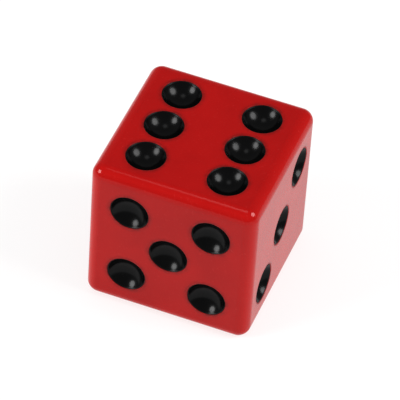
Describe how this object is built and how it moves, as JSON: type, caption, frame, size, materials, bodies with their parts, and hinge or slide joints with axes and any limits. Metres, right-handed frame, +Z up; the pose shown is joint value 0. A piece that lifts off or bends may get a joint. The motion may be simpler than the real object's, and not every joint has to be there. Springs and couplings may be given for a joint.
{
  "type": "six-sided die",
  "caption": "Opaque moulded gaming die: a cube with small rounded edges and black enamelled pips in concave cups.",
  "frame": {"origin": "middle of the face of the one, which the die stands on", "axes": "+Z up through the face of the six, -Y out of the face of the five, +X out of the face of the three"},
  "size_m": [0.016, 0.016, 0.016],
  "materials": {
    "red_plastic": "moulded opaque red plastic, tumbled to a soft gloss",
    "black_enamel": "black gloss enamel, dried in the cups"
  },
  "bodies": {
    "root": {"cube_body": "red_plastic", "enamel_five_centre": "black_enamel", "enamel_five_lower_left": "black_enamel", "enamel_five_lower_right": "black_enamel", "enamel_five_upper_left": "black_enamel", "enamel_five_upper_right": "black_enamel", "enamel_four_lower_left": "black_enamel", "enamel_four_lower_right": "black_enamel", "enamel_four_upper_left": "black_enamel", "enamel_four_upper_right": "black_enamel", "enamel_one_centre": "black_enamel", "enamel_six_lower_left": "black_enamel", "enamel_six_lower_right": "black_enamel", "enamel_six_middle_left": "black_enamel", "enamel_six_middle_right": "black_enamel", "enamel_six_upper_left": "black_enamel", "enamel_six_upper_right": "black_enamel", "enamel_three_centre": "black_enamel", "enamel_three_lower_left": "black_enamel", "enamel_three_upper_right": "black_enamel", "enamel_two_lower_right": "black_enamel", "enamel_two_upper_left": "black_enamel"}
  },
  "joints": []
}
